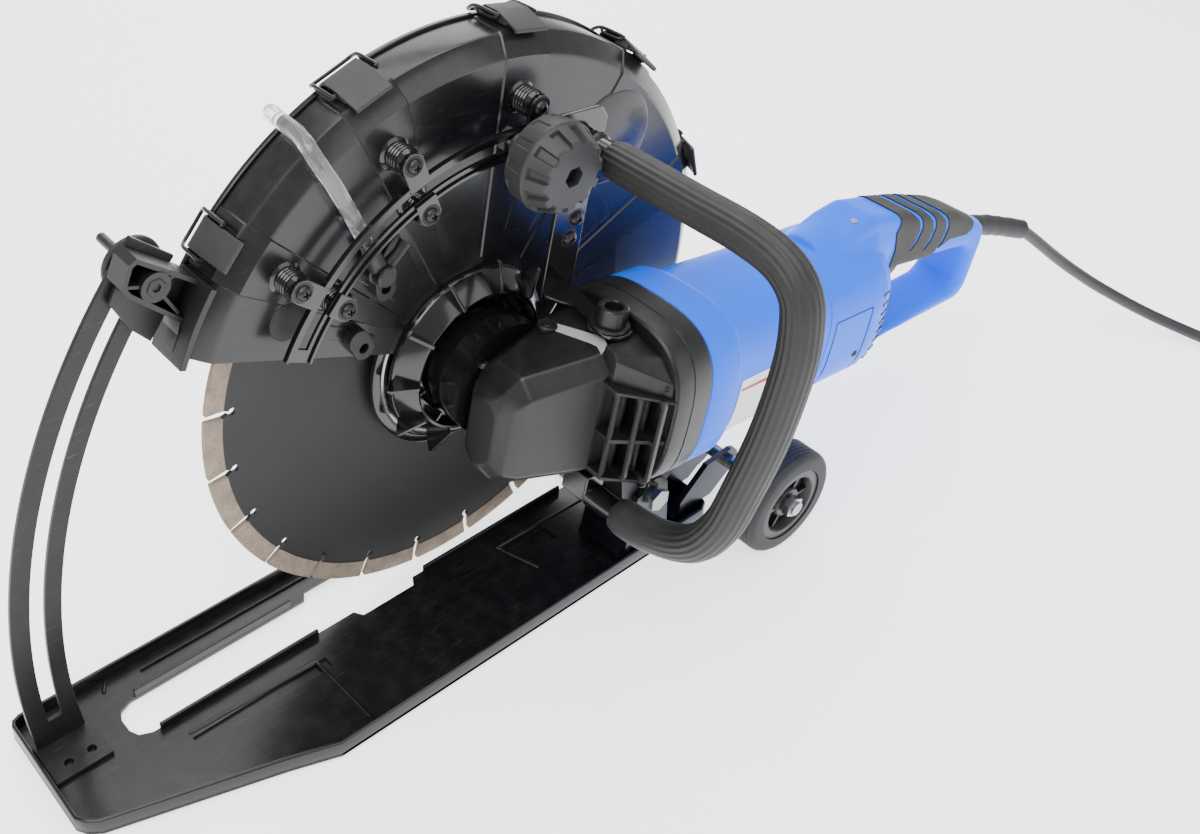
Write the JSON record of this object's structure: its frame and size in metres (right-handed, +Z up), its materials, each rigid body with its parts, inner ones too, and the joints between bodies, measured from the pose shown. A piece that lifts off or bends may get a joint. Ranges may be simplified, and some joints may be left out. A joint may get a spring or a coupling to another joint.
{
  "type": "electric cut-off saw on guide base",
  "caption": "Electric concrete cut-off saw: hooded diamond blade, gearbox and motor with rear D-handle and wrap-around front handle, pivoting on a slotted wheeled guide base with curved guide.",
  "frame": {"origin": "on the floor, under the middle of the machine without its supply cord", "axes": "+X to the rear handle along the blade, +Z up, -Y to the gearbox and motor side"},
  "size_m": [1.0645, 0.4499, 0.3872],
  "materials": {
    "black_paint": "semi-gloss black",
    "black_nylon": "satin black glass-filled nylon",
    "cast_black": "satin black coated die-cast",
    "blue_plastic": "satin blue",
    "rubber": "matt",
    "steel": "bright zinc plated or ground",
    "blade_steel": "dark painted core",
    "hose_clear": "clear flexible PVC",
    "guard_paint": "semi-gloss black powder coat on die-cast aluminium"
  },
  "bodies": {
    "base": {"base_plate": "black_paint", "arc_guide": "black_paint", "pivot_bracket": "black_paint", "pivot_pin": "steel", "axle_bracket": "black_paint", "wheel_axle": "steel"},
    "wheel_near": {"tyre_near": "rubber", "hub_near": "black_nylon"},
    "wheel_far": {"tyre_far": "rubber", "hub_far": "black_nylon"},
    "blade_group": {"blade": "blade_steel", "flange_outer": "steel", "flange_inner": "steel", "flange_bolt": "steel", "spindle": "steel"},
    "armature_group": {"armature": "steel"},
    "knob": {"clamp_knob": "black_nylon"},
    "rod": {"clamp_rod": "steel"},
    "trigger_body": {"trigger": "black_nylon"},
    "lock_button": {"spindle_lock": "black_nylon"},
    "lever_1": {"latch_lever_1": "black_nylon"},
    "bail_1": {"latch_bail_1": "steel"},
    "lever_2": {"latch_lever_2": "black_nylon"},
    "bail_2": {"latch_bail_2": "steel"},
    "lever_3": {"latch_lever_3": "black_nylon"},
    "bail_3": {"latch_bail_3": "steel"},
    "lever_4": {"latch_lever_4": "black_nylon"},
    "bail_4": {"latch_bail_4": "steel"},
    "lever_5": {"latch_lever_5": "black_nylon"},
    "bail_5": {"latch_bail_5": "steel"},
    "saw": {"gearbox_housing": "cast_black", "bearing_neck": "cast_black", "gearbox_flange": "cast_black", "motor_housing": "blue_plastic", "stator": "steel", "rear_handle": "blue_plastic", "grip_overmould": "rubber", "strain_relief": "rubber", "saw_lug": "cast_black", "guard_housing": "guard_paint", "guard_cover": "guard_paint", "backing_ring": "guard_paint", "guard_collar": "cast_black", "arc_bar": "black_paint", "front_arm": "black_nylon", "water_hose": "hose_clear", "hose_valve": "black_nylon", "top_bracket": "black_paint", "bracket_bolt": "steel", "clamp_stud": "steel", "u_handle_tube": "black_paint", "u_handle_foam": "rubber", "cord_tube": "rubber", "cord_coil": "rubber", "cord_plug": "rubber", "guard_post_1": "rubber", "guard_post_2": "rubber", "guard_post_3": "rubber", "guard_post_4": "rubber", "guard_post_5": "rubber"}
  },
  "joints": [
    {"name": "saw_tilt", "type": "hinge", "parent": "base", "child": "saw", "pos_m": [0.007, 0.01035, 0.0549], "axis": [0, -1, 0], "range_deg": [0, 38]},
    {"name": "wheel_near_spin", "type": "hinge", "parent": "base", "child": "wheel_near", "pos_m": [0.0856, -0.05115, 0.0395], "axis": [0, 1, 0], "continuous": true},
    {"name": "wheel_far_spin", "type": "hinge", "parent": "base", "child": "wheel_far", "pos_m": [0.0856, 0.03705, 0.0395], "axis": [0, 1, 0], "continuous": true},
    {"name": "blade_spin", "type": "hinge", "parent": "saw", "child": "blade_group", "pos_m": [-0.0924, 0.08335, 0.1784], "axis": [0, 1, 0], "continuous": true},
    {"name": "armature_spin", "type": "hinge", "parent": "saw", "child": "armature_group", "pos_m": [0.00663, -0.00265, 0.16448], "axis": [0.9903, 0, -0.1392], "continuous": true},
    {"name": "knob_turn", "type": "hinge", "parent": "saw", "child": "knob", "pos_m": [-0.0729, 0.02335, 0.3244], "axis": [0, -1, 0], "range_deg": [0, 720]},
    {"name": "rod_turn", "type": "hinge", "parent": "saw", "child": "rod", "pos_m": [-0.28584, 0.09335, 0.30768], "axis": [0, -1, 0], "range_deg": [0, 720]},
    {"name": "trigger_pull", "type": "hinge", "parent": "saw", "child": "trigger_body", "pos_m": [0.21837, -0.00065, 0.14785], "axis": [0, -1, 0], "range_deg": [0, 10], "stiffness_Nm_per_rad": 1.2},
    {"name": "lock_press", "type": "slide", "parent": "saw", "child": "lock_button", "axis": [-0.1392, 0, -0.9903], "range_m": [0, 0.005], "stiffness_N_per_m": 600},
    {"name": "lever_1_lift", "type": "hinge", "parent": "saw", "child": "lever_1", "pos_m": [-0.24755, 0.07135, 0.31422], "axis": [0.6587, 0, 0.7524], "range_deg": [0, 100]},
    {"name": "bail_1_lift", "type": "hinge", "parent": "lever_1", "child": "bail_1", "pos_m": [-0.24988, 0.08535, 0.31626], "axis": [0.6587, 0, 0.7524], "range_deg": [0, 35]},
    {"name": "lever_2_lift", "type": "hinge", "parent": "saw", "child": "lever_2", "pos_m": [-0.1568, 0.07135, 0.37428], "axis": [0.95, 0, 0.3123], "range_deg": [0, 100]},
    {"name": "bail_2_lift", "type": "hinge", "parent": "lever_2", "child": "bail_2", "pos_m": [-0.15777, 0.08535, 0.37723], "axis": [0.95, 0, 0.3123], "range_deg": [0, 35]},
    {"name": "lever_3_lift", "type": "hinge", "parent": "saw", "child": "lever_3", "pos_m": [-0.04883, 0.07135, 0.37994], "axis": [0.9774, 0, -0.2113], "range_deg": [0, 100]},
    {"name": "bail_3_lift", "type": "hinge", "parent": "lever_3", "child": "bail_3", "pos_m": [-0.04817, 0.08535, 0.38297], "axis": [0.9774, 0, -0.2113], "range_deg": [0, 35]},
    {"name": "lever_4_lift", "type": "hinge", "parent": "saw", "child": "lever_4", "pos_m": [0.04744, 0.07135, 0.32994], "axis": [0.7349, 0, -0.6782], "range_deg": [0, 100]},
    {"name": "bail_4_lift", "type": "hinge", "parent": "lever_4", "child": "bail_4", "pos_m": [0.04954, 0.08535, 0.33222], "axis": [0.7349, 0, -0.6782], "range_deg": [0, 35]},
    {"name": "lever_5_lift", "type": "hinge", "parent": "saw", "child": "lever_5", "pos_m": [0.1049, 0.07135, 0.23834], "axis": [0.2907, 0, -0.9568], "range_deg": [0, 100]},
    {"name": "bail_5_lift", "type": "hinge", "parent": "lever_5", "child": "bail_5", "pos_m": [0.10786, 0.08535, 0.23924], "axis": [0.2907, 0, -0.9568], "range_deg": [0, 35]}
  ],
  "couplings": [
    {"joint": "armature_spin", "follows": "blade_spin", "ratio": -4}
  ]
}
